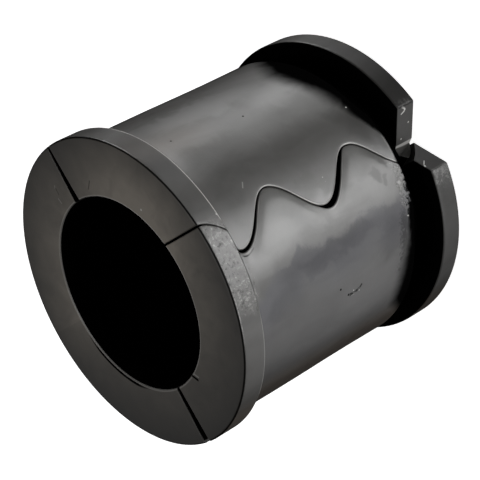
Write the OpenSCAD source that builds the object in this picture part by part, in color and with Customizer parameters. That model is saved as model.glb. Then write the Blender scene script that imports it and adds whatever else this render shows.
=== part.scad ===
// Stabilizer bushing: one moulded rubber sleeve with a flange at each end.
// It is split along a wavy line, so that it opens over a round bar, and a bracket grips its barrel.
// Millimetres. The sleeve stands on its notched rear flange, with its axis on Z and the split facing -Y.

/* [Sleeve] */
// Overall length along the bar
length = 67; // [60:1:110]
// Diameter of the bore that grips the bar
bore_d = 45; // [36:0.5:48]
// Diameter of the barrel that sits in the bracket
barrel_d = 68; // [66:0.5:70]
// Lead-in chamfer at both mouths of the bore
lead_in = 0.3; // [0.2:0.1:1]

/* [Flanges] */
// Diameter of both flanges
flange_d = 72; // [72:0.5:84]
// Thickness of the front flange
front_flange_t = 6; // [4:0.5:8]
// Thickness of the rear flange
rear_flange_t = 5.5; // [4:0.5:8]
// Rounding of the flange rims
rim_round = 0.5; // [0.2:0.1:0.8]

/* [Neck] */
// Diameter of the neck between the barrel and the rear flange
neck_d = 55.6; // [52:0.2:60]
// Width of the neck along the axis
neck_w = 5.8; // [4:0.2:8]
// Rounding of the barrel's shoulder above the neck
shoulder_round = 2.8; // [1:0.2:2.8]

/* [Wavy split] */
// Length of one regular half wave along the axis
half_wave = 12.1; // [9:0.1:14]
// Sideways travel of the wave from trough to crest
wave_travel = 9.2; // [6:0.2:12]
// Sideways place of the middle of the wave
wave_middle = 1.2; // [0:0.1:2]
// Sideways place of the split on the front face
front_place = 5; // [3:0.1:6]
// Distance from the front face to the first trough
first_trough = 8.6; // [7:0.1:11]
// How long the split holds its place on the front face before it turns: 1 is an even half wave
front_hold = 1.8; // [1:0.1:2.4]
// Distance from the rear face to the last trough
last_trough = 6.9; // [5:0.1:9]
// Sideways gap between the two lips
lip_gap = 0.45; // [0.4:0.05:1]
// Extra gap where the lips stand apart, on the flanks that rise towards the rear
flank_gap = 1; // [0:0.1:1.5]

/* [Relief slits] */
// Width of the right slit at the bore
right_slit_bore_w = 1.6; // [0.4:0.1:2]
// Width of the right slit at the rim
right_slit_rim_w = 0.6; // [0.4:0.1:2]
// Width of the left slit at the bore
left_slit_bore_w = 0.9; // [0.4:0.1:2]
// Width of the left slit at the rim
left_slit_rim_w = 1.4; // [0.4:0.1:2]

/* [Rear notch] */
// Width of the notch across the rim of the rear flange
notch_w = 15.6; // [10:0.2:20]
// Rubber left between the root of the notch and the neck
notch_floor = 0.4; // [0.2:0.1:1]

/* [Hidden] */
$fn = 96;

// How far a cut runs past the surface that it opens
over = 1;
// Straight pieces in each rounded corner and in each half wave
round_steps = 5;
wave_steps = 12;

bore_r = bore_d / 2;
barrel_r = barrel_d / 2;
flange_r = flange_d / 2;
neck_r = neck_d / 2;
barrel_z = rear_flange_t + neck_w;
front_flange_z = length - front_flange_t;

// The wave holds as many regular half waves as fit, and its last one takes up the rest
wave_amp = wave_travel / 2;
wave_run = length - first_trough - last_trough;
regular_halves = 2 * max(1, round(wave_run / (2 * half_wave))) - 1;
tail_half = wave_run - regular_halves * half_wave;
half_lengths = concat([first_trough], [for (i = [1:regular_halves]) half_wave], [tail_half, tail_half]);
last_half = len(half_lengths) - 1;

// The rear notch widens from its root to its corners on the rim
notch_root_r = neck_r + notch_floor;
notch_rim_y = sqrt(flange_r * flange_r - notch_w * notch_w / 4);
notch_flank = (notch_w / 2) / (notch_rim_y - notch_root_r);

// Points of a quarter round of radius r about c, from angle a to angle a + 90
function quarter(c, r, a) =
    [for (i = [0:round_steps]) c + r * [cos(a + 90 * i / round_steps), sin(a + 90 * i / round_steps)]];

// Depth below the front face at which half wave i starts
function half_start(i) = i == 0 ? 0 : half_start(i - 1) + half_lengths[i - 1];

// Falls from 1 to 0 over a half wave, level at both ends
function ease(t) = (1 + cos(180 * t)) / 2;

// The last fall keeps the regular slope, and then rests in the trough inside the neck
function settled(i, t) = i == last_half - 1 ? min(1, t * max(1, tail_half / half_wave)) : t;

// Sideways place of the upper lip at the fraction t of half wave i
trough_x = wave_middle - wave_amp + lip_gap / 2;
function lip_x(i, t) =
    i == 0 ? trough_x + (front_place + lip_gap / 2 - trough_x) * ease(pow(t, front_hold))
    : trough_x + wave_travel * (i % 2 == 0 ? ease(settled(i, t)) : 1 - ease(t));

// Sideways gap there, wider on the rising half waves
function gap_at(i, t) = lip_gap + (i % 2 == 1 ? flank_gap * pow(sin(180 * t), 2) : 0);

// Both lips as points across and up, each run on past the front face
upper_lip = concat(
    [[lip_x(0, 0), length + over]],
    [for (i = [0:last_half], s = [0:wave_steps - 1]) let (t = s / wave_steps)
        [lip_x(i, t), length - half_start(i) - half_lengths[i] * t]]);
lower_lip = concat(
    [[lip_x(0, 0) - gap_at(0, 0), length + over]],
    [for (i = [0:last_half], s = [0:wave_steps - 1]) let (t = s / wave_steps)
        [lip_x(i, t) - gap_at(i, t), length - half_start(i) - half_lengths[i] * t]]);

// Half section of the sleeve: bore, rear flange, neck, rounded shoulder, barrel and front flange
module section() {
    polygon(concat(
        [[bore_r, length - lead_in], [bore_r, lead_in], [bore_r + lead_in, 0]],
        quarter([flange_r - rim_round, rim_round], rim_round, -90),
        quarter([flange_r - rim_round, rear_flange_t - rim_round], rim_round, 0),
        [[neck_r, rear_flange_t], [neck_r, barrel_z]],
        quarter([barrel_r - shoulder_round, barrel_z + shoulder_round], shoulder_round, -90),
        [[barrel_r, front_flange_z]],
        quarter([flange_r - rim_round, front_flange_z + rim_round], rim_round, -90),
        quarter([flange_r - rim_round, length - rim_round], rim_round, 0),
        [[bore_r + lead_in, length]]));
}

// The wavy split, straight through the wall on the -Y side
module wavy_split() {
    translate([0, over - bore_r / 2, 0]) rotate([90, 0, 0])
        linear_extrude(flange_r + 2 * over - bore_r / 2)
            polygon(concat(upper_lip, [for (i = [len(lower_lip) - 1:-1:0]) lower_lip[i]]));
}

// Slit through the front flange from the bore to the rim, along +X, with its own width at each end
module relief_slit(bore_w, rim_w) {
    spread = (rim_w - bore_w) / (flange_r - bore_r);
    inner_w = bore_w - spread * over;
    outer_w = rim_w + spread * over;
    translate([0, 0, front_flange_z]) linear_extrude(front_flange_t + over)
        polygon([
            [bore_r - over, -inner_w / 2], [flange_r + over, -outer_w / 2],
            [flange_r + over, outer_w / 2], [bore_r - over, inner_w / 2]]);
}

// V notch through the rear flange, centred on the split
module rear_notch() {
    reach = flange_r + over - notch_root_r;
    translate([0, 0, -over]) linear_extrude(over + rear_flange_t + neck_w / 2)
        polygon([
            [0, -notch_root_r],
            [-reach * notch_flank, -notch_root_r - reach],
            [reach * notch_flank, -notch_root_r - reach]]);
}

module bushing() {
    color([0.23, 0.225, 0.215]) difference() {
        rotate_extrude() section();
        wavy_split();
        relief_slit(right_slit_bore_w, right_slit_rim_w);
        rotate([0, 0, 180]) relief_slit(left_slit_bore_w, left_slit_rim_w);
        rear_notch();
    }
}

bushing();
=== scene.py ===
import bmesh
import bpy
import math
from mathutils import Matrix, Vector


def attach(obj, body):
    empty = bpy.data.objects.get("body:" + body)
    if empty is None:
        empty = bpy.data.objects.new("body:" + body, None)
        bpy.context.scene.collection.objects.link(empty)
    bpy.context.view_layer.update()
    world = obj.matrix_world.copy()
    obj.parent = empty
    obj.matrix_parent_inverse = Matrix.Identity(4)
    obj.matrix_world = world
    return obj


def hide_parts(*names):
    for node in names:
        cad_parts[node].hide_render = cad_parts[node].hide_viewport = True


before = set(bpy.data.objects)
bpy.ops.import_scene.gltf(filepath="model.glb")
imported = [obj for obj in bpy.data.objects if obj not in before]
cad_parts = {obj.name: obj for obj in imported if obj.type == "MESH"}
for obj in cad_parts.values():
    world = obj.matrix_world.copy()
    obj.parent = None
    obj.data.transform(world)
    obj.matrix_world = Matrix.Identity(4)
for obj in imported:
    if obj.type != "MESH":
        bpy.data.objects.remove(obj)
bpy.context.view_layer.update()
mm = 0.001


# the sleeve's sizes, in millimetres
sleeve = {
    "length": 67.0,
    "boreR": 22.5,
    "barrelR": 34.0,
    "flangeR": 36.0,
    "leadIn": 0.3,
    "frontT": 6.0,
    "rearT": 5.5,
    "rimRound": 0.5,
    "neckR": 27.8,
    "neckTop": 11.3,
    "shoulder": 2.8,
    "crispShoulder": 0.6,
    "cornerFill": 0.3,
    "rowStep": 0.62,
    "boreStep": 0.93,
}

# the wavy split: regular half waves by depth, its first and last stretch as (height, sideways place) of the
# upper lip, and the sideways gap as (height, gap)
wave = {
    "halves": [8.6, 12.1, 12.1, 12.1, 15.2, 15.2],
    "travel": 9.2,
    "trough": 1.2 - 4.6 + 0.225,
    "leastGap": 0.12,
    "first": [(67.0, 5.4), (66.1, 5.3), (64.7, 4.75), (63.4, 3.9), (62.2, 2.9), (61.1, 1.5), (60.6, -0.7),
              (60.1, -2.1), (59.6, -2.75), (59.0, -3.05), (58.4, -3.175)],
    "last": [(22.1, 6.025), (20.9, 5.85), (19.7, 5.35), (18.6, 4.45), (17.5, 3.3), (16.4, 2.0), (15.2, 0.65),
             (13.9, -0.8), (12.4, -2.2), (10.6, -3.1), (8.6, -3.3), (6.9, -3.175), (5.5, -2.95), (2.7, -1.4),
             (0.0, 0.75)],
    "gaps": [(67, 0.46), (66.2, 0.42), (64.0, 0.26), (61.2, 0.2), (60.4, 0.35), (59.6, 0.55), (58.4, 0.7),
             (55.5, 0.85), (53.0, 1.0), (51.3, 0.85), (49.3, 0.55), (47.8, 0.25), (46.3, 0.14),
             (36.6, 0.14), (35.3, 0.4), (34.2, 0.85), (31.8, 1.65), (29.0, 2.0), (26.6, 1.9), (24.6, 1.3),
             (23.2, 0.45), (22.1, 0.14), (9.4, 0.14), (8.2, 0.4), (6.9, 0.8), (5.2, 1.0), (0, 1.1)],
}

notch = {
    "rootR": 28.2,
    "halfWidth": 7.8,
    "columns": 11,
}
notch["flank"] = notch["halfWidth"] / (
    math.sqrt(sleeve["flangeR"] ** 2 - notch["halfWidth"] ** 2) - notch["rootR"])

# slit widths at the bore and at the rim, for the +X half and the -X half
slits = {1: (2.0, 0.7), -1: (1.1, 2.1)}

# widths of the rounded edges, the widest one, and the angle in degrees from which an edge stays sharp
edges = {"lip": 0.26, "bore": 0.12, "slit": 0.12, "notch": 0.3, "widest": 0.5, "steps": 3, "sharp": 38}

# columns of points: distances from the lip, and how many up to the slit and on to the back
columns = {"lipZone": [0.0, 0.9, 1.9, 3.1, 4.6], "toSlit": 32, "toBack": 36}

# levels at which the lip wall behind the notch is built
notchLevels = [4.9, 4.1, 3.3, 2.5, 1.7, 0.9]

# moulded rubber is never quite round: a swell of the barrel, and the lower half sunk beside its lip
unevenness = {"sink": 0.22, "sinkReach": 3.2, "swell": 0.1}

# how far round from the split the shoulder's corner is crisp, and where it is fully rounded, in degrees
crispUntil = {1: (14, 26), -1: (18, 36)}


def along(table, place):
    # smooth curve through a falling table of (place, value)
    place = min(max(place, table[-1][0]), table[0][0])
    n = next(i for i in range(len(table) - 1) if place >= table[i + 1][0])
    (a, va), (b, vb) = table[n], table[n + 1]

    def slope(i):
        low, high = max(i - 1, 0), min(i + 1, len(table) - 1)
        return (table[high][1] - table[low][1]) / (table[high][0] - table[low][0])

    t, run = (place - a) / (b - a), b - a
    return ((2 * t ** 3 - 3 * t * t + 1) * va + (t ** 3 - 2 * t * t + t) * run * slope(n)
            + (3 * t * t - 2 * t ** 3) * vb + (t ** 3 - t * t) * run * slope(n + 1))


def waveAt(depth):
    # upper lip and sideways gap at a depth below the front face
    z = sleeve["length"] - depth
    gap = max(along(wave["gaps"], z), wave["leastGap"])
    if depth <= wave["halves"][0]:
        return along(wave["first"], z), gap
    if z <= wave["last"][0][0]:
        return along(wave["last"], z), gap
    start = 0.0
    for i, half in enumerate(wave["halves"]):
        if depth <= start + half or i == len(wave["halves"]) - 1:
            break
        start += half
    t = min(max((depth - start) / half, 0.0), 1.0)
    fall = (1 + math.cos(math.pi * t)) / 2
    return wave["trough"] + wave["travel"] * (fall if i % 2 == 0 else 1 - fall), gap


def lipX(side, z):
    # lip of one half, as a distance towards that half's own side
    x, gap = waveAt(sleeve["length"] - z)
    return x if side > 0 else gap - x


def flankPoint(r):
    # point of the notch flank at radius r, as (sideways, outwards)
    k, root = notch["flank"], notch["rootR"]
    inside = k ** 4 * root ** 2 - (k * k + 1) * (k * k * root ** 2 - r * r)
    v = (k * k * root + math.sqrt(inside)) / (k * k + 1)
    return k * (v - root), v


def arc(cr, cz, radius, start, end, steps, first=0):
    # rounded corner of the half section, without its first points when they are there already
    return [(cr + radius * math.cos(math.radians(start + (end - start) * i / steps)),
             cz + radius * math.sin(math.radians(start + (end - start) * i / steps)))
            for i in range(first, steps + 1)]


def line(a, b, steps):
    # points after a, up to b
    return [(a[0] + (b[0] - a[0]) * i / steps, a[1] + (b[1] - a[1]) * i / steps) for i in range(1, steps + 1)]


def outerRows():
    # half section from the top lead-in, over the outside, to the bottom lead-in
    s = sleeve
    top, rim, fill = s["length"], s["rimRound"], s["cornerFill"]
    shelf = top - s["frontT"]
    rows = [(s["boreR"] + s["leadIn"], top, "top")]
    rows += [(r, z, "top") for r, z in line(rows[0][:2], (s["flangeR"] - rim, top), 9)]
    rows += [(r, z, "rim") for r, z in arc(s["flangeR"] - rim, top - rim, rim, 90, 0, 5, 1)]
    rows += [(r, z, "rim") for r, z in line((s["flangeR"], top - rim), (s["flangeR"], shelf + rim), 6)]
    rows += [(r, z, "rim") for r, z in arc(s["flangeR"] - rim, shelf + rim, rim, 0, -90, 5, 1)]
    rows += [(r, z, "shelf") for r, z in arc(s["barrelR"] + fill, shelf - fill, fill, 90, 180, 3)]
    low = s["neckTop"] + s["shoulder"]
    count = round((shelf - fill - low) / s["rowStep"])
    rows += [(r, z, "barrel") for r, z in line((s["barrelR"], shelf - fill), (s["barrelR"], low), count)]
    corner = s["shoulder"]
    rows += [(r, z, "shoulder") for r, z in arc(s["barrelR"] - corner, low, corner, 0, -90, 9, 1)]
    rows += [(r, z, "neck") for r, z in line(rows[-1][:2], (s["neckR"] + fill, s["neckTop"]), 3)]
    rows += [(r, z, "neck") for r, z in arc(s["neckR"] + fill, s["neckTop"] - fill, fill, 90, 180, 3, 1)]
    rows += [(r, z, "neck") for r, z in line(rows[-1][:2], (s["neckR"], s["rearT"] + fill), 5)]
    rows += [(r, z, "neck") for r, z in arc(s["neckR"] + fill, s["rearT"] + fill, fill, 180, 270, 3, 1)]
    rows += [(r, z, "rearFront") for r, z in line(rows[-1][:2], (s["flangeR"] - rim, s["rearT"]), 10)]
    rows += [(r, z, "rearRim") for r, z in arc(s["flangeR"] - rim, s["rearT"] - rim, rim, 90, 0, 5, 1)]
    rows += [(r, z, "rearRim") for r, z in line((s["flangeR"], s["rearT"] - rim), (s["flangeR"], rim), 5)]
    rows += [(r, z, "rearRim") for r, z in arc(s["flangeR"] - rim, rim, rim, 0, -90, 5, 1)]
    mouth = (s["boreR"] + s["leadIn"], 0.0)
    rows += [(r, z, "rearBack") for r, z in line((s["flangeR"] - rim, 0.0), mouth, 12)]
    return rows


def boreRows():
    # bore wall from the bottom up, with one row level with the floor of the slits
    s = sleeve
    low, high = s["leadIn"], s["length"] - s["leadIn"]
    floorZ = s["length"] - s["frontT"] - s["cornerFill"]
    count = round((floorZ - low) / s["boreStep"])
    rows = [(s["boreR"], low + (floorZ - low) * i / count, "bore") for i in range(count + 1)]
    rows += [(s["boreR"], floorZ + (high - floorZ) * i / 6, "bore") for i in range(1, 7)]
    return rows


def spread(points, count):
    # the given corners of a line, with in-between points so that there are count + 1 in all
    lengths = [math.dist(a, b) for a, b in zip(points, points[1:])]
    shares = [max(1, round(count * length / sum(lengths))) for length in lengths]
    shares[-1] += count - sum(shares)
    placed = [points[0]]
    for (a, b), steps in zip(zip(points, points[1:]), shares):
        placed += [(a[0] + (b[0] - a[0]) * i / steps, a[1] + (b[1] - a[1]) * i / steps)
                   for i in range(1, steps + 1)]
    return placed


def onLip(side, r, z):
    x = lipX(side, z)
    return x, math.sqrt(r * r - x * x)


def meeting(side, z):
    # where the lip runs out into a flank of the notch
    x = lipX(side, z)
    return x, notch["rootR"] + abs(x) / notch["flank"]


def notchStarts(side, rows):
    # sideways and outward place of the first column, for the rows that the notch cuts
    starts = {}
    face = [i for i, row in enumerate(rows) if row[2] == "rearFront"]
    face = [face[0] - 1] + face
    z = rows[face[0]][1]
    first = onLip(side, rows[face[0]][0], z)
    meet = meeting(side, z)
    root = (0.0, notch["rootR"])
    corners = [first, root if meet[0] < 0 else meet, flankPoint(rows[face[-1]][0])]
    for i, point in zip(face, spread(corners, len(face) - 1)):
        starts[i] = point
    for i, row in enumerate(rows):
        if row[2] == "rearRim":
            starts[i] = flankPoint(row[0])
    back = [i for i, row in enumerate(rows) if row[2] == "rearBack"]
    back = [back[0] - 1] + back
    corners = [flankPoint(rows[back[0]][0]), meeting(side, 0.0), onLip(side, rows[back[-1]][0], 0.0)]
    for i, point in zip(back, spread(corners, len(back) - 1)):
        starts[i] = point
    return starts


def slitAngles(side, r):
    # angles of the two walls of the relief slit at radius r
    boreW, rimW = slits[side]
    far = r
    for _ in range(3):
        half = (boreW + (rimW - boreW) * (far - sleeve["boreR"]) / (sleeve["flangeR"] - sleeve["boreR"])) / 2
        far = math.sqrt(r * r - half * half)
    lean = math.atan2(half, far)
    return math.pi / 2 - lean, math.pi / 2 + lean


def columnPlaces(side, row, start):
    # (radius, angle from -Y) of every column in one row of one half
    r, z, _ = row
    x = lipX(side, z)
    zone = [math.asin((x + d) / r) for d in columns["lipZone"]]
    wallA, wallB = slitAngles(side, r)
    angles = list(zone)
    angles += [zone[-1] + (wallA - zone[-1]) * i / columns["toSlit"] for i in range(1, columns["toSlit"] + 1)]
    angles += [wallB + (math.pi - wallB) * i / columns["toBack"] for i in range(columns["toBack"] + 1)]
    places = [(r, a) for a in angles]
    if start is not None:
        count = notch["columns"]
        rStart, aStart = math.hypot(*start), math.atan2(start[0], start[1])
        aEnd = angles[count]
        for j in range(count):
            t = j / count
            ease = t * t * (3 - 2 * t)
            places[j] = (rStart + (r - rStart) * ease, aStart + (aEnd - aStart) * t)
    return places


def smooth(low, high, value):
    t = min(max((value - low) / (high - low), 0.0), 1.0)
    return t * t * (3 - 2 * t)


def surfaceShift(side, kind, r, angle, z):
    # how far a point of the barrel stands off the true round
    if kind not in ("barrel", "shoulder"):
        return 0.0
    fade = smooth(60.6, 57.0, z) * smooth(11.5, 15.5, z)
    x, y = side * r * math.sin(angle), -r * math.cos(angle)
    swell = math.sin(0.09 * x + 0.11 * z + 1.0) * math.sin(0.08 * y - 0.07 * z)
    shift = unevenness["swell"] * (swell - 1) * fade
    if side < 0:
        lip, gap = waveAt(sleeve["length"] - z)
        away = r * angle - (gap - lip)
        shift -= unevenness["sink"] * fade * (1 - smooth(0.0, unevenness["sinkReach"], away))
    return shift


def crispShoulder(row):
    # the same point of the shoulder where its corner is crisp, as it is near the split
    s = sleeve
    dr, dz = row[0] - (s["barrelR"] - s["shoulder"]), row[1] - (s["neckTop"] + s["shoulder"])
    corner = s["crispShoulder"]
    share = corner / s["shoulder"]
    return s["barrelR"] - corner + dr * share, s["neckTop"] + corner + dz * share, row[2]


def stitch(bm, outer, inner, level):
    # triangles between two edge lines that both run downwards
    i = j = 0
    while i < len(outer) - 1 or j < len(inner) - 1:
        goOuter = j == len(inner) - 1
        if i < len(outer) - 1 and not goOuter:
            here, there = outer[i].co, outer[i + 1].co
            flat = abs(here.z - there.z) < 0.002
            outwards = there.xy.length > here.xy.length
            if flat and outwards and here.z < level:
                goOuter = inner[j].co.z < here.z
            else:
                goOuter = there.z >= inner[j + 1].co.z
        if goOuter:
            bm.faces.new((outer[i], outer[i + 1], inner[j]))
            i += 1
        else:
            bm.faces.new((outer[i], inner[j + 1], inner[j]))
            j += 1


def placePoints(bm, side, rows, starts):
    # every point of one half, row by row
    crispTo, roundFrom = (math.radians(a) for a in crispUntil[side])
    grid = []
    for n, row in enumerate(rows):
        crisp = crispShoulder(row) if row[2] == "shoulder" else row
        points = []
        for (r, angle), (crispR, crispAngle) in zip(columnPlaces(side, row, starts.get(n)),
                                                    columnPlaces(side, crisp, starts.get(n))):
            share = 1 - smooth(crispTo, roundFrom, angle)
            z = row[1] + (crisp[1] - row[1]) * share
            r, angle = r + (crispR - r) * share, angle + (crispAngle - angle) * share
            r += surfaceShift(side, row[2], r, angle, z)
            points.append(bm.verts.new((side * r * math.sin(angle), -r * math.cos(angle), z)))
        grid.append(points)
    return grid


def buildSkin(bm, grid, rows, outerCount, weight):
    # the faces of one half, and the two walls and the floor of its relief slit
    total, count = len(rows), len(grid[0])
    wall = len(columns["lipZone"]) - 1 + columns["toSlit"]
    slitFloor = sleeve["length"] - sleeve["frontT"] - sleeve["cornerFill"] - 0.001
    for n in range(total):
        after = (n + 1) % total
        slitHere = min(rows[n][1], rows[after][1]) > slitFloor
        for j in range(count - 1):
            if j != wall or not slitHere:
                bm.faces.new((grid[n][j], grid[n][j + 1], grid[after][j + 1], grid[after][j]))
    slitOuter = [n for n in range(outerCount) if rows[n][1] > slitFloor]
    slitBore = [n for n in range(outerCount, total) if rows[n][1] > slitFloor]
    for column in (wall, wall + 1):
        ring = [grid[n][column] for n in slitOuter + slitBore]
        bm.faces.new(ring)
        mark(bm, ring + ring[:1], weight, edges["slit"])
    a, b = slitOuter[-1], slitBore[0]
    bm.faces.new((grid[a][wall], grid[a][wall + 1], grid[b][wall + 1], grid[b][wall]))


def buildLipWall(bm, side, grid, outer, starts, weight):
    # the wall of the split, down to where it runs out into the notch
    faceStart = min(starts)
    top = [grid[n][0] for n in range(faceStart + 1)]
    rearFront = sleeve["rearT"]
    meet = meeting(side, rearFront)
    pastRoot = meet[0] < 0
    levels = notchLevels
    falling = [rearFront - 0.01 * i for i in range(int(rearFront * 100))]
    crossing = next((z for z in falling if lipX(side, z) > 0), rearFront)
    if pastRoot:
        levels = sorted(set([z for z in levels if abs(z - crossing) > 0.3] + [crossing]), reverse=True)
    hidden = []
    for z in levels:
        x, out = (0.0, notch["rootR"]) if z == crossing and pastRoot else meeting(side, z)
        hidden.append(bm.verts.new((side * x, -out, z)))
    backRows = [n for n in range(len(outer)) if outer[n][2] == "rearBack"]
    x, out = meeting(side, 0)
    backMeet = min(backRows, key=lambda n: (grid[n][0].co - Vector((side * x, -out, 0))).length)
    bottom = [grid[n][0] for n in range(backMeet, len(outer))]
    rimRows = [n for n in starts if faceStart < n <= backMeet]
    if pastRoot:
        # the tongue of this half reaches past the root of the notch
        first = grid[faceStart][0].co
        lipPoints = spread([(first.x * side, -first.y), meet], 3)[1:]
        tongueLip = [bm.verts.new((side * x, -y, rearFront)) for x, y in lipPoints]
        rootTop = grid[faceStart + 1][0]
        bm.faces.new([grid[faceStart][0]] + tongueLip + [rootTop])
        cut = levels.index(crossing)
        bm.faces.new([tongueLip[-1]] + hidden[:cut + 1] + [rootTop])
        bm.faces.new([rootTop] + [grid[n][0] for n in rimRows[1:]] + hidden[:cut - 1 if cut else 0:-1])
        mark(bm, [tongueLip[-1], rootTop], weight, edges["lip"])
        flank = [rootTop] + [grid[n][0] for n in rimRows[1:]]
        lipEdge = top + tongueLip
    else:
        meetRow = min(rimRows, key=lambda n: (grid[n][0].co
                                              - Vector((side * meet[0], -meet[1], rearFront))).length)
        flank = [grid[n][0] for n in rimRows if n >= meetRow]
        bm.faces.new(flank + hidden[::-1])
        lipEdge = top + [grid[n][0] for n in range(faceStart + 1, meetRow + 1)]
    chain = lipEdge + hidden + bottom
    inner = [grid[n][0] for n in range(len(grid) - 1, len(outer) - 1, -1)]
    stitch(bm, chain, inner, sleeve["rearT"] + 2.5)
    for run, width in ((lipEdge, "lip"), (flank, "notch"), (bottom, "lip"), (inner, "bore"),
                       ([chain[0], inner[0]], "bore"), ([chain[-1], inner[-1]], "bore")):
        mark(bm, run, weight, edges[width])


def buildHalf(bm, side, weight):
    outer = outerRows()
    rows = outer + boreRows()
    starts = notchStarts(side, outer)
    grid = placePoints(bm, side, rows, starts)
    buildSkin(bm, grid, rows, len(outer), weight)
    buildLipWall(bm, side, grid, outer, starts, weight)


def fromSplit(point):
    # sideways distance from the nearer lip: above 0 on the upper half, below 0 on the lower one
    if point.y > 0:
        return 20.0
    x, gap = waveAt(sleeve["length"] - point.z)
    return min(max(point.x - x, 0.0), 20.0) + max(min(point.x - x + gap, 0.0), -20.0)


def mark(bm, chain, weight, width):
    # gives the edges along a line of points their rounding, as a share of the widest one
    for a, b in zip(chain, chain[1:]):
        edge = bm.edges.get((a, b))
        if edge is not None:
            edge[weight] = width / edges["widest"]


def buildSleeve():
    bm = bmesh.new()
    weight = bm.edges.layers.float.new("bevel_weight_edge")
    buildHalf(bm, 1, weight)
    buildHalf(bm, -1, weight)
    bmesh.ops.remove_doubles(bm, verts=bm.verts[:], dist=0.0004)
    bmesh.ops.dissolve_degenerate(bm, edges=bm.edges[:], dist=0.0002)
    bmesh.ops.recalc_face_normals(bm, faces=bm.faces[:])
    print("sleeve: open or doubled edges", sum(len(e.link_faces) != 2 for e in bm.edges))
    bmesh.ops.scale(bm, vec=(mm, mm, mm), verts=bm.verts[:])
    mesh = bpy.data.meshes.new("sleeveSurface")
    bm.to_mesh(mesh)
    bm.free()
    piece = bpy.data.objects.new("sleeveSurface", mesh)
    bpy.context.scene.collection.objects.link(piece)
    bevel = piece.modifiers.new("rounding", "BEVEL")
    bevel.limit_method = "WEIGHT"
    bevel.width = edges["widest"] * mm
    bevel.segments = edges["steps"]
    bevel.use_clamp_overlap = False
    bevel.miter_outer = "MITER_SHARP"
    bevel.loop_slide = False
    applied = bpy.data.meshes.new_from_object(piece.evaluated_get(bpy.context.evaluated_depsgraph_get()))
    piece.modifiers.clear()
    piece.data = applied
    bm = bmesh.new()
    bm.from_mesh(applied)
    for face in bm.faces:
        face.smooth = True
    for edge in bm.edges:
        if len(edge.link_faces) == 2 and edge.calc_face_angle() > math.radians(edges["sharp"]):
            edge.smooth = False
    away = bm.verts.layers.float.new("lipAway")
    for v in bm.verts:
        v[away] = fromSplit(v.co / mm)
    bm.to_mesh(applied)
    print("sleeve:", len(bm.verts), "points", sum(len(f.verts) - 2 for f in bm.faces), "triangles")
    bm.free()
    weigh = piece.modifiers.new("weighed", "WEIGHTED_NORMAL")
    weigh.keep_sharp = True
    return piece


piece = buildSleeve()


class Wire:
    # a shader socket that adds and multiplies like a number
    def __init__(self, paint, socket):
        self.paint, self.socket = paint, socket

    def math(self, operation, other=0.0, swap=False):
        first, second = (other, self) if swap else (self, other)
        return self.paint.add("ShaderNodeMath", {"operation": operation}, {0: first, 1: second})

    def __add__(self, other): return self.math("ADD", other)
    def __radd__(self, other): return self.math("ADD", other, True)
    def __sub__(self, other): return self.math("SUBTRACT", other)
    def __rsub__(self, other): return self.math("SUBTRACT", other, True)
    def __mul__(self, other): return self.math("MULTIPLY", other)
    def __rmul__(self, other): return self.math("MULTIPLY", other, True)
    def __truediv__(self, other): return self.math("DIVIDE", other)
    def __rtruediv__(self, other): return self.math("DIVIDE", other, True)
    def __pow__(self, other): return self.math("POWER", other)
    def __abs__(self): return self.math("ABSOLUTE")


class Paint:
    # one material and its nodes
    def __init__(self, name):
        self.material = bpy.data.materials.new(name)
        self.material.use_nodes = True
        self.tree = self.material.node_tree
        self.shader = self.tree.nodes["Principled BSDF"]

    def add(self, kind, settings=None, inputs=None, out=0):
        node = self.tree.nodes.new(kind)
        for name, value in (settings or {}).items():
            if name == "stops":
                band = node.color_ramp.elements
                while len(band) < len(value):
                    band.new(0.5)
                for element, (at, level) in zip(band, value):
                    element.position, element.color = at, (level, level, level, 1)
            else:
                setattr(node, name, value)
        for name, value in (inputs or {}).items():
            if isinstance(value, Wire):
                self.tree.links.new(value.socket, node.inputs[name])
            else:
                node.inputs[name].default_value = value
        return Wire(self, node.outputs[out])

    def finish(self, **inputs):
        for name, value in inputs.items():
            socket = self.shader.inputs[name.replace("_", " ")]
            if isinstance(value, Wire):
                self.tree.links.new(value.socket, socket)
            else:
                socket.default_value = value
        return self.material


def step(value, low, high):
    # 0 below low, 1 above high, smooth between
    return value.paint.add("ShaderNodeMapRange", {"interpolation_type": "SMOOTHSTEP"},
                           {"Value": value, "From Min": low, "From Max": high})


def between(value, low, high, soft):
    # 1 from low to high, with soft ends
    return step(value, low - soft, low + soft) * (1 - step(value, high - soft, high + soft))


def most(*values):
    found = values[0]
    for value in values[1:]:
        found = found.math("MAXIMUM", value)
    return found


def blend(paint, mask, low, high):
    return paint.add("ShaderNodeMix", {"data_type": "RGBA", "blend_type": "MIX"},
                     {0: mask, 6: low, 7: high}, out=2)


def curve(table, value, low, high, top=1.0):
    # reads a rising table of (place, level) through a ramp, for places from low to high and levels up to top
    stops = [((place - low) / (high - low), level / top) for place, level in table]
    return top * value.paint.add("ShaderNodeValToRGB", {"stops": stops}, {0: (value - low) / (high - low)})


def onSkin(angle, z, radius):
    # point of a round surface, by its angle from the split
    turn = math.radians(angle)
    return Vector((radius * math.sin(turn), -radius * math.cos(turn), z))


def spotMask(place, centre, size):
    # 1 inside a small round mark
    far = place.paint.add("ShaderNodeVectorMath", {"operation": "DISTANCE"}, {0: place, 1: centre}, out=1)
    return 1 - step(far, size * 0.55, size)


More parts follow.
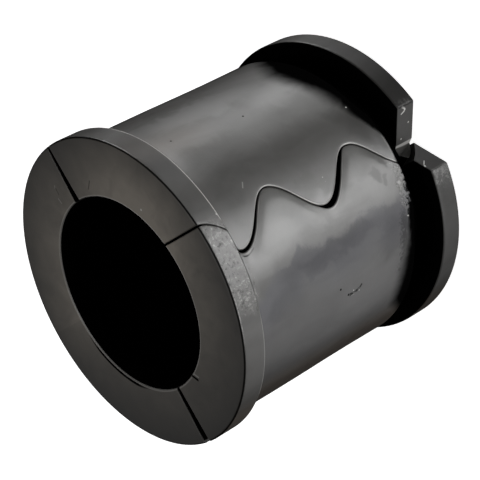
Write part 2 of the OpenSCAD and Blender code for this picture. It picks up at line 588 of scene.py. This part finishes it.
def strokeMask(place, start, end, width):
    # 1 along a straight scratch between two points
    middle, run = (Vector(start) + Vector(end)) / 2, Vector(end) - Vector(start)
    paint = place.paint
    off = paint.add("ShaderNodeVectorMath", {"operation": "SUBTRACT"}, {0: place, 1: middle})
    dot = {"operation": "DOT_PRODUCT"}
    length = paint.add("ShaderNodeVectorMath", dot, {0: off, 1: off}, out=1)
    share = paint.add("ShaderNodeVectorMath", dot, {0: off, 1: run.normalized()}, out=1)
    aside = (length - share * share + 0.0001) ** 0.5
    inside = 1 - step(abs(share), run.length / 2 * 0.75, run.length / 2)
    return inside * (1 - step(aside, width * 0.3, width * 0.7))


rubberLook = {
    "base": (0.052, 0.0505, 0.048, 1),
    "face": (0.165, 0.147, 0.124, 1),
    "cool": (0.048, 0.048, 0.057, 1),
    "warm": (0.064, 0.053, 0.044, 1),
    # dark olive of the painted shade on the tongue in the notch
    "oliveTongueShade": (0.034, 0.033, 0.027, 1),
    "chalk": (0.42, 0.415, 0.40, 1),
    # light colour of the painted edge highlights
    "edgeHighlight": (0.5, 0.49, 0.47, 1),
    "dark": (0, 0, 0, 1),
    # black for the painted shade and the dark pits
    "shadeAndPitBlack": (0.001, 0.001, 0.001, 1),
    "roughness": 0.29,
    # painted light and shade on the front face: how light it is, by angle from the split
    "faceLightAndShade": [(-180, 0.42), (-150, 0.2), (-110, 0.17), (-92, 0.2), (-70, 0.2), (-50, 0.27), (-30, 0.35),
                 (-10, 0.4), (10, 0.68), (30, 0.82), (50, 0.82), (70, 0.5), (88, 0.3), (92, 0.36),
                 (110, 0.42), (130, 0.46), (150, 0.46), (180, 0.5)],
    # how far up the dark shade beside the neck reaches, in mm, by angle
    "shade": [(-90, 12), (-80, 12.3), (-72, 12.8), (-60, 18.2), (-54, 17.8), (-46, 17), (-38, 15.8),
              (-30, 14.6), (-20, 13.0), (-10, 11.5), (-6.5, 11.0), (-5, 11.9), (-2.5, 12.0), (1, 11.2),
              (3, 11.0), (6.5, 11.8), (10, 12.9), (14, 13.8), (19, 15.3), (28, 17.0), (36, 17.9),
              (45, 19.8), (54, 20.5), (64, 17.5), (75, 13), (90, 12.5)],
    # half the width of that shade's soft edge, by angle
    "shadeSoft": [(-90, 2.5), (-50, 2.5), (-36, 1.8), (-30, 1.0), (-4, 0.4), (0, 0.4), (8, 0.5),
                  (16, 1.1), (28, 2.8), (60, 3.4), (90, 2.8)],
    # upper edge of the dull zone on the lower half: angle by height
    "dullEdge": [(12, -15), (16, -16.3), (18.6, -17.9), (23.7, -13.7), (27, -15), (31.5, -18),
                 (35.5, -18.5), (40.5, -17), (45.7, -14), (48.7, -18.5), (52.5, -18.3), (58, -24)],
    # broad smears on the barrel: angle, height, reach round and along in mm, how light (above 0) or dark
    "smears": [(-8, 49, 3.4, 6, 0.3), (-7, 35, 3.0, 6, 0.3), (2, 30, 3.0, 16, -0.3), (3, 18, 4, 6, -0.2),
               (44, 26, 4.5, 6, 0.35), (-46, 28, 6, 9, 0.35), (-62, 45, 5, 14, 0.4), (20, 34, 4, 14, -0.3),
               (-29, 19, 4, 5, -0.5), (-20, 31, 2.2, 7, -0.4), (-23, 42, 2.2, 5, -0.4), (30, 50, 4, 9, -0.35),
               (-14, 56, 3, 3, 0.4), (-33, 52, 4, 5, -0.3), (54, 42, 4, 14, 0.5), (64, 46, 3, 12, -0.4),
               (-60, 26, 5, 8, 0.4), (-5, 19.5, 1.3, 1.7, -0.7), (-8.5, 17.5, 0.9, 1.1, -0.6),
               (-1, 15.5, 1.2, 1.2, -0.5)],
}

# single small marks; those on round skin are placed by angle from the split and height
wear = {
    # spots: angle, height, radius, size
    "lightSpots": [(22.9, 14.9, 34, 0.28), (3.4, 51.4, 34, 0.22), (8.9, 61.4, 36, 0.3), (3.7, 31.8, 34, 0.28),
                   (1.9, 31.7, 34, 0.24), (33.9, 67, 24.8, 0.3), (-24, 13.8, 34, 0.25),
                   (-40.6, 32.6, 34, 0.2), (-41.9, 30.9, 34, 0.2)],
    "darkSpots": [(39.4, 36.9, 34, 0.3), (1.6, 35.7, 34, 0.22), (-2.8, 33.4, 34, 0.22), (44, 55, 34, 0.3),
                  (-37.3, 36.5, 34, 0.35), (-41.3, 34.2, 34, 0.35)],
    # scratches: start, end and width, on the barrel
    "barrelScratches": [((13.2, 50.9), (15.6, 49.9), 0.3), ((-42.2, 33.6), (-42.3, 32.0), 0.3)],
    "scars": [((-41.6, 34.0), (-41.8, 31.9), 0.75), ((-41.6, 32.1), (-40.9, 30.7), 0.6),
              ((-41.2, 31.0), (-39.7, 29.9), 0.45)],
    # the same on the front face, as (x, y)
    "faceScratches": [((25.6, 6.3), (24.0, 6.0), 0.25), ((28.3, 5.0), (27.6, 5.5), 0.25),
                      ((-21.0, -8.1), (-22.5, -9.5), 0.35)],
    "darkScratches": [((23.3, -6.2), (24.9, -8.6), 0.35), ((25.9, 5.3), (27.9, 5.2), 0.25)],
    "nick": ((-21.2, -7.2), (-23.1, -8.9), 0.6),
    # and on the walls of the rear notch, as (x, y, z)
    "notchScratches": [((7.6, -34.95, 4.1), (7.2, -34.62, 3.2), 0.5), ((7.2, -34.6, 3.2), (6.7, -34.16, 2.9), 0.45),
                       ((6.7, -34.16, 2.9), (6.2, -33.7, 4.3), 0.35), ((4.2, -31.9, 1.8), (4.0, -31.8, 1.5), 0.4),
                       ((1.6, -29.6, 4.0), (1.5, -29.5, 3.7), 0.4), ((-5.0, -32.6, 3.6), (-5.9, -33.4, 5.0), 0.22),
                       ((-5.9, -33.4, 5.0), (-6.4, -33.9, 5.2), 0.35)],
}


class Skin:
    # what the marks are made from: places on the sleeve in mm and degrees, its zones, and noises
    def __init__(self, paint):
        self.paint = paint
        self.place = paint.add("ShaderNodeVectorMath", {"operation": "SCALE"},
                               {0: paint.add("ShaderNodeTexCoord", out=3), 3: 1 / mm})
        parts = paint.add("ShaderNodeSeparateXYZ", {}, {0: self.place})
        x, y, z = (Wire(paint, parts.socket.node.outputs[i]) for i in range(3))
        radius = (x * x + y * y) ** 0.5
        angle = x.math("ARCTAN2", 0 - y) * math.degrees(1)
        self.x, self.z, self.radius, self.angle = x, z, radius, angle
        self.away = paint.add("ShaderNodeAttribute", {"attribute_name": "lipAway"}, out=2)

        unrolled = paint.add("ShaderNodeCombineXYZ", {}, {0: angle * 0.6, 1: z * 0.4 + angle * 0.07, 2: radius})
        self.cloud = self.noise(0.07, 4.0)
        self.streak = self.noise(0.16, 5.0, distortion=0.8, vector=unrolled)
        self.smudge = self.noise(0.22, 5.0, distortion=0.6)
        self.grain = self.noise(1.6, 3.0)
        self.chips = self.noise(1.7, 5.0, roughness=0.7)
        self.fleck = self.noise(0.95, 5.0, roughness=0.75, distortion=0.5)
        self.dust = self.noise(1.1, 1.0)

        self.onFace = step(z, 66.8, 66.95)
        self.onBarrel = step(radius, 33.2, 33.6) * between(z, 12.0, 60.8, 0.3)
        self.onLower = step(angle, -27.0, -17.0) * (1 - step(self.away, -1.2, -0.3))
        self.onRear = (1 - step(z, 5.55, 5.7)) * step(radius, 35.3, 35.7)
        inNotch = step(radius, 28.0, 28.4) * (1 - step(radius, 35.6, 35.9)) * between(angle, -14.0, 14.0, 1.0)
        self.inNotch = inNotch * (1 - step(z, 5.42, 5.5)) * step(z, 0.05, 0.1)
        dullEdge = curve(rubberLook["dullEdge"], z, 0, sleeve["length"], -30)
        self.aboveDull = angle - dullEdge + 7 * (self.smudge - 0.5) + 4 * (self.chips - 0.5)

    def noise(self, scale, detail, roughness=0.5, distortion=0.0, vector=None):
        return self.paint.add("ShaderNodeTexNoise", {}, {
            "Vector": vector or self.place, "Scale": scale, "Detail": detail, "Roughness": roughness,
            "Distortion": distortion})


def baseTint(skin):
    # warmer front face with painted light and shade, and on the barrel a cool dull zone and two warm strips
    paint, look, z, angle, onFace = skin.paint, rubberLook, skin.z, skin.angle, skin.onFace
    cool = step(angle, -75.0, -60.0) * (1 - step(skin.aboveDull, -2.5, 2.5)) * step(z, 10.0, 12.0)
    cool = cool * (0.2 + 0.6 * step(skin.aboveDull, -22.0, -4.0)) * (1 - step(z, 60.0, 61.0)) * (1 - onFace)
    tint = blend(paint, cool, look["base"], look["cool"])
    warm = most(between(angle, -84.0, -64.0, 7.0), between(angle, 38.0, 50.0, 8.0) * step(z, 40.0, 54.0))
    tint = blend(paint, warm * (1 - onFace), tint, look["warm"])
    dim = 0.5 + 0.5 * skin.cloud + 0.6 * skin.streak + 0.25 * (skin.smudge - 0.5)
    # painted light and shade on the front face: lighter on one side by angle, and darker towards the rim
    faceLightAndShade = curve(look["faceLightAndShade"], angle + 16 * (skin.smudge - 0.5), -180, 180)
    faceLightAndShade = faceLightAndShade * (1.45 - 0.085 * (skin.radius - 23.0))
    faceLightAndShade = faceLightAndShade * (0.8 + 0.8 * (skin.streak - 0.5) + 0.4 * skin.smudge)
    return blend(paint, onFace, blend(paint, dim, look["dark"], tint),
                 blend(paint, faceLightAndShade, look["dark"], look["face"]))


def barrelShine(skin):
    # the strength of the clear coat: smears and streaks on the barrel, none on the front face
    broad = 0.0
    for angle, height, reachRound, reachAlong, level in rubberLook["smears"]:
        aside = (skin.angle - angle + 14 * (skin.smudge - 0.5)) * (0.59 / reachRound)
        further = (skin.z - height + 9 * (skin.streak - 0.5)) / reachAlong
        broad = broad + level * (1 - step(aside * aside + further * further, 0.0, 1.8))
    shine = 0.42 + broad + 0.9 * (skin.streak - 0.5) + 0.45 * (skin.cloud - 0.5) + 0.3 * (skin.smudge - 0.5)
    return (shine * (1 - skin.onFace)).math("MAXIMUM", 0.0).math("MINIMUM", 1.0)


def rimPatch(skin):
    # the chalky, chipped patch on the front rim below the split, which runs a little onto the barrel
    onRim = between(skin.z, 61.0, 66.5, 0.2) * step(skin.radius, 34.6, 35.4)
    beyond = between(skin.z, 58.6, 62.0, 0.8) * (1 - step(skin.away, -3.0, -1.0))
    patch = step(skin.angle + 6 * (skin.smudge - 0.5), -27.0, -20.0)
    patch = patch * (1 - step(skin.angle + 6 * (skin.chips - 0.5), 5.0, 10.0))
    return patch * most(onRim, 0.5 * beyond)


def raggedEdge(skin):
    # the ragged rear edge of the lower half, and the duller band above it
    edge = 12.0 + 0.07 * (0 - skin.angle) + 5.0 * (skin.chips - 0.5) + 3.0 * (skin.dust - 0.5)
    rag = skin.onLower * step(skin.z, 11.4, 11.7) * between(skin.z - edge, 0.0, 1.0, 0.3)
    band = between(skin.z - edge, 0.0, 2.6, 0.9) * between(skin.angle, -48.0, -20.0, 5.0)
    return rag, band * step(skin.radius, 33.2, 33.6)


def paintedEdgeHighlights(skin):
    # painted highlights: light lines along both lips, the bore mouth, both edges of the front rim and the root of
    # the notch
    x, z, radius, angle, away = skin.x, skin.z, skin.radius, skin.angle, skin.away
    shut = most(between(z, 36.0, 41.5, 1.5), 0.5 * between(z, 40.0, 46.6, 0.8),
                0.5 * (1 - step(z, 21.5, 23.0)), 0.3)
    lipLine = between(away, 0.09, 0.33, 0.07) * skin.onBarrel * shut
    openLine = between(away, -0.55, -0.15, 0.1) * skin.onBarrel
    openLine = openLine * most(between(z, 24.0, 33.0, 1.5), between(z, 49.0, 57.5, 1.0))
    mouth = between(radius, 22.58, 22.98, 0.06) * step(z, 66.6, 66.7)
    mouth = mouth * (0.55 + 0.45 * between(angle, -20.0, 60.0, 20.0))
    rimLine = between(z - 0.25 * step(angle, 35.0, 80.0), 61.02, 61.4, 0.12) * step(radius, 35.5, 35.7)
    besideSplit = step(angle, 5.0, 9.0) * (1 - step(angle, 80.0, 90.0))
    rimLine = rimLine * (0.6 * between(angle, -62.0, -27.0, 5.0) + besideSplit)
    root = between(x, 0.0, 0.6, 0.1) * between(z, 0.3, 5.4, 0.2) * between(radius, 28.1, 29.2, 0.1)
    frontLine = between(z, 66.4, 66.6, 0.06) * between(angle, -30.0, -6.0, 6.0)
    frontLine = frontLine * step(skin.fleck, 0.42, 0.52) * step(radius, 35.6, 35.8)
    lines = most(lipLine, 0.2 * openLine, 0.4 * mouth, 0.8 * rimLine, 0.5 * root, 0.35 * frontLine)
    return lines, rimLine, root


def spotsOn(skin, spots):
    return [spotMask(skin.place, onSkin(angle, height, radius), size) for angle, height, radius, size in spots]


def strokesOnBarrel(skin, strokes, strength):
    return [strength * strokeMask(skin.place, onSkin(*a, sleeve["barrelR"]), onSkin(*b, sleeve["barrelR"]), width)
            for a, b, width in strokes]


def strokesOnFace(skin, strokes, strength):
    return [strength * strokeMask(skin.place, (*a, sleeve["length"]), (*b, sleeve["length"]), width)
            for a, b, width in strokes]


def shadeBesideNeck(skin):
    # the deep shade beside the neck, with a ragged edge on the lower half
    reach = curve(rubberLook["shade"], skin.angle, -90, 90, 30)
    soft = curve(rubberLook["shadeSoft"], skin.angle, -90, 90, 10)
    rough = 2 * (skin.smudge - 0.5) - skin.onLower * (5.0 * (skin.chips - 0.5) + 3.0 * (skin.dust - 0.5))
    shade = 1 - step((skin.z + rough - reach) / soft, -1.0, 1.0)
    return shade * step(skin.radius, 27.0, 28.0) * step(skin.z, 5.6, 6.5)


def paintedBlackShade(skin):
    # painted shade that stays black: the bore, the neck and the shade beside it, the sharp front edge, the depths of
    # the split and slits, a line beside the lower lip in a trough and a crescent in the bore mouth
    z, radius, away = skin.z, skin.radius, skin.away
    inBore = 1 - step(radius, 22.5, 22.58)
    inNeck = step(z, 5.2, 5.45) * (1 - step(z, 11.3, 11.5)) * (1 - step(radius, 35.7, 35.95))
    frontEdge = step(z, 66.64, 66.72) * step(radius, 35.64, 35.72)
    deep = most(between(radius, 22.75, 33.3, 0.08) * between(z, 12.0, 60.9, 0.1),
                between(radius, 22.75, 35.4, 0.1) * between(z, 61.2, 66.76, 0.08),
                between(radius, 22.75, 27.9, 0.08) * between(z, 0.2, 5.3, 0.06))
    trough = between(away, -0.95, -0.7, 0.1) * between(z, 55.9, 59.3, 0.4) * step(radius, 33.6, 33.8)
    crescent = between(skin.angle, -168.0, -120.0, 9.0)
    crescent = crescent * step(radius, 22.85, 22.95) * (1 - step(radius - 0.7 * crescent, 22.9, 23.0))
    return [inBore, inNeck, shadeBesideNeck(skin), 0.9 * frontEdge, 0.9 * trough, deep, crescent * skin.onFace]


def shadeAndDullPlaces(skin, smear, rearBand, specked, rimLine, notchScratchesAndRootHighlight):
    # what is darkened in part: painted shade in the notch, on the rear rim, under the front rim, on the upper half's
    # tip and along the barrel's long outlines, with the dull smear zone, the front rim dulled from 26 to 54 degrees,
    # the duller band above the ragged edge and the dark specks of the rim patch
    x, z, radius, angle, away = skin.x, skin.z, skin.radius, skin.angle, skin.away
    frontRim = between(z, 61.1, 66.6, 0.1) * step(radius, 35.3, 35.6)
    # painted shade on the upper half's tip, darker towards the neck
    tipShade = step(away, 0.2, 4.5) * (1 - step(z + 0.25 * angle, 17.0, 27.0)) * between(angle, -8.0, 30.0, 6.0)
    rimShade = between(z, 60.9, 61.35, 0.12) * step(radius, 34.8, 35.3) * between(angle, -20.0, 4.0, 3.0)
    # painted shade along the barrel's two long outlines, and in a strip from -78 to -67 degrees on the lower side
    outlineShade = 0.85 * step(angle, 74.0, 82.0) * (1 - step(angle, 84.0, 116.0))
    outlineShade = outlineShade + 0.7 * (1 - step(angle, -83.0, -76.0)) * step(angle, -112.0, -88.0)
    outlineShade = outlineShade * (1 - skin.onFace) + 0.25 * skin.onBarrel * between(angle, -78.0, -67.0, 4.0)
    notchShade = skin.inNotch * (0.36 + 0.28 * (1 - step(x, -1.0, 0.5))) * (1 - notchScratchesAndRootHighlight)
    rearShade = (0.4 + 0.3 * between(angle, 4.0, 48.0, 8.0)) * skin.onRear * (1 - step(angle, 52.0, 66.0))
    rimDull = 0.5 * frontRim * (1 - rimLine) * between(angle, 26.0, 54.0, 8.0)
    return [0.22 * smear, notchShade, rearShade, rimDull, 0.45 * rearBand,
            0.55 * rimShade * step(skin.fleck, 0.4, 0.5), 0.42 * tipShade * skin.onBarrel,
            outlineShade * (1 - rimLine), specked]


def rubberMaterial():
    paint = Paint("mouldedRubber")
    look, skin = rubberLook, Skin(paint)
    z, fleck = skin.z, skin.fleck
    smear = step(skin.aboveDull, -15.0, -2.0) * (1 - step(skin.aboveDull, -1.2, 1.4))
    smear = smear * between(z, 14.0, 53.0, 4.0)

    # light marks: the chalky patch, scuffed corners beside the notch, painted highlights along the edges, spots and
    # scratches
    patch = rimPatch(skin)
    dense = step(skin.smudge + 0.4 * (skin.dust - 0.5), 0.4, 0.62)
    chalk = patch * (0.06 + 0.07 * dense + (0.24 + 0.3 * dense) * step(fleck, 0.52, 0.66))
    specked = patch * 0.6 * (1 - step(fleck, 0.36, 0.44))
    corner = between(z, 0.2, 5.3, 0.3) * step(skin.radius, 35.3, 35.8) * step(fleck, 0.47, 0.6)
    corner = corner * most(between(skin.angle, -19.0, -12.0, 2.0), between(skin.angle, 12.0, 14.5, 1.0))
    rag, rearBand = raggedEdge(skin)
    edgeHighlight, rimLine, root = paintedEdgeHighlights(skin)
    bright = most(*spotsOn(skin, wear["lightSpots"]))
    scratches = strokesOnBarrel(skin, wear["barrelScratches"], 0.4) + strokesOnFace(skin, wear["faceScratches"], 0.3)
    # scratches on the notch walls, together with the painted highlight at the notch root
    notchScratchesAndRootHighlight = most(root, *(strokeMask(skin.place, a, b, width) for a, b, width in wear["notchScratches"]))
    # painted shade: the tongue in the notch darkened to olive
    tongue = between(skin.away, 0.0, 4.0, 0.02) * (1 - step(skin.x, -0.1, 0.0))
    tongue = tongue * (1 - step(z, 5.5, 5.7)) * step(skin.radius, 28.1, 28.3)
    tint = blend(paint, tongue, baseTint(skin), look["oliveTongueShade"])
    # painted highlights along the edges
    tint = blend(paint, edgeHighlight, tint, look["edgeHighlight"])
    chalky = most(chalk, rag * 0.12 * (1 + 2.4 * step(fleck, 0.5, 0.6)), 0.35 * corner,
                  notchScratchesAndRootHighlight * (1 - root), bright, *scratches)
    tint = blend(paint, chalky, tint, look["chalk"])

    # painted shade and shadow, and dark pits, scars and scratches, mixed in through a black shader
    pits = spotsOn(skin, wear["darkSpots"])
    pits += [scar * step(skin.chips, 0.4, 0.5) for scar in strokesOnBarrel(skin, wear["scars"], 0.8)]
    pits += strokesOnFace(skin, wear["darkScratches"], 0.45) + strokesOnFace(skin, [wear["nick"]], 1.0)
    shadeAndDull = shadeAndDullPlaces(skin, smear, rearBand, specked, rimLine, notchScratchesAndRootHighlight)
    black = most(*paintedBlackShade(skin), *shadeAndDull, *pits) * (1 - bright)

    gloss = look["roughness"] + 0.06 * (skin.smudge + skin.streak + skin.onFace) + 0.2 * chalk
    height = 0.35 * skin.grain + 2.2 * patch * fleck + 1.2 * rag + 0.4 * smear * fleck
    bump = paint.add("ShaderNodeBump", {}, {"Strength": 0.35, "Distance": 0.00012, "Height": height})
    paint.finish(Base_Color=tint, Roughness=gloss, Normal=bump, Coat_Weight=barrelShine(skin),
                 Coat_Roughness=0.34, Coat_IOR=1.5)
    # black shader for the painted shade and the dark marks
    shadeAndPitShader = paint.add("ShaderNodeBsdfPrincipled", {}, {"Base Color": look["shadeAndPitBlack"], "Roughness": 0.9,
                                                      "Specular IOR Level": 0.0})
    mixed = paint.add("ShaderNodeMixShader", {}, {0: black, 1: Wire(paint, paint.shader.outputs[0]), 2: shadeAndPitShader})
    paint.tree.links.new(mixed.socket, paint.tree.nodes["Material Output"].inputs[0])
    return paint.material


piece.data.materials.clear()
piece.data.materials.append(rubberMaterial())
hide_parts("bushing")
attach(piece, "root")
print("sleeve placed")


studio = {"floorSize": 4.0, "floor": (0.9, 0.9, 0.9, 1), "glow": 0.93, "room": 0.02, "below": 0.0002,
          "middle": (0, 0, 0.034)}

# soft lamps: direction from the front (growing towards +X) and height in degrees, distance, width, power
lamps = {
    "lowFront": (0, -35, 0.6, 0.17, 0.8),
    "lowFrontLeft": (340, -35, 0.6, 0.17, 0.74),
    "lowEdge": (320, -35, 0.6, 0.17, 0.14),
    "lowLeftA": (300, -35, 0.6, 0.17, 0.155),
    "lowLeftB": (280, -35, 0.6, 0.17, 0.095),
    "lowLeftC": (260, -35, 0.6, 0.17, 0.055),
    "lowFrontRight": (20, -35, 0.6, 0.17, 0.1),
    "lowRightA": (60, -35, 0.6, 0.17, 0.2),
    "lowRightB": (80, -35, 0.6, 0.17, 0.31),
    "lowRightC": (100, -35, 0.6, 0.17, 0.1),
    "lowRightD": (120, -35, 0.6, 0.17, 0.023),
    "levelFront": (0, -5, 0.6, 0.3, 0.95),
    "levelFrontLeft": (315, -5, 0.6, 0.3, 1.198),
    "levelLeft": (270, -5, 0.6, 0.3, 0.094),
    "levelFrontRight": (45, -5, 0.6, 0.3, 0.134),
    "levelRight": (90, -5, 0.6, 0.3, 1.458),
    "backSoft": (180, 30, 0.7, 0.4, 0.117),
    "backHigh": (180, 62, 0.7, 0.4, 0.218),
    "high": (0, 85, 0.7, 0.4, 2.0),
    "lowBack": (180, -30, 0.6, 0.25, 0.35),
}


def buildFloor():
    half = studio["floorSize"] / 2
    mesh = bpy.data.meshes.new("studioFloor")
    corners = [(-half, -half, 0), (half, -half, 0), (half, half, 0), (-half, half, 0)]
    mesh.from_pydata(corners, [], [(0, 1, 2, 3)])
    floor = bpy.data.objects.new("studioFloor", mesh)
    bpy.context.scene.collection.objects.link(floor)
    paint = Paint("paleFloor")
    mesh.materials.append(paint.finish(Base_Color=studio["floor"], Roughness=0.9, Specular_IOR_Level=0.1,
                                       Emission_Color=(1, 1, 1, 1), Emission_Strength=studio["glow"]))
    floor.location.z = -studio["below"]
    # the low lamps stand under the floor, so it neither blocks nor mirrors them
    floor.visible_shadow = False
    floor.visible_glossy = False
    floor.visible_diffuse = False


def addLamp(name, turn, height, distance, width, power):
    # a soft square lamp that looks at the middle of the sleeve
    turn, height = math.radians(turn), math.radians(height)
    way = Vector((math.sin(turn) * math.cos(height), -math.cos(turn) * math.cos(height), math.sin(height)))
    lamp = bpy.data.lights.new(name, "AREA")
    lamp.energy = power
    lamp.size = width
    thing = bpy.data.objects.new(name, lamp)
    bpy.context.scene.collection.objects.link(thing)
    thing.location = Vector(studio["middle"]) + way * distance
    thing.rotation_euler = way.to_track_quat("Z", "Y").to_euler()


buildFloor()
for name, settings in lamps.items():
    addLamp(name, *settings)
world = bpy.data.worlds.new("softRoom")
world.use_nodes = True
world.node_tree.nodes["Background"].inputs[0].default_value = (1, 1, 1, 1)
world.node_tree.nodes["Background"].inputs[1].default_value = studio["room"]
bpy.context.scene.world = world
bpy.context.scene.view_settings.view_transform = "Standard"

# the photograph's viewing angle: place in mm, directions and focal length
camera = {
    "place": (-1.4245, -319.8766, 260.8929),
    "right": (-0.475600, -0.508317, -0.717926),
    "up": (0.879662, -0.275464, -0.387706),
    "ahead": (0.000685, 0.815925, -0.578157),
    "lens": 130.933,
}


def buildCamera():
    data = bpy.data.cameras.new("viewpoint")
    data.lens = camera["lens"]
    data.sensor_width = 36
    data.sensor_height = 36
    data.sensor_fit = "HORIZONTAL"
    data.clip_start = 0.01
    data.clip_end = 20
    thing = bpy.data.objects.new("viewpoint", data)
    bpy.context.scene.collection.objects.link(thing)
    right, up, ahead = (Vector(camera[k]).normalized() for k in ("right", "up", "ahead"))
    turn = Matrix((right, up, -ahead)).transposed().to_4x4()
    thing.matrix_world = Matrix.Translation(Vector(camera["place"]) * mm) @ turn
    bpy.context.scene.camera = thing


buildCamera()
print("floor, lamps and camera placed")
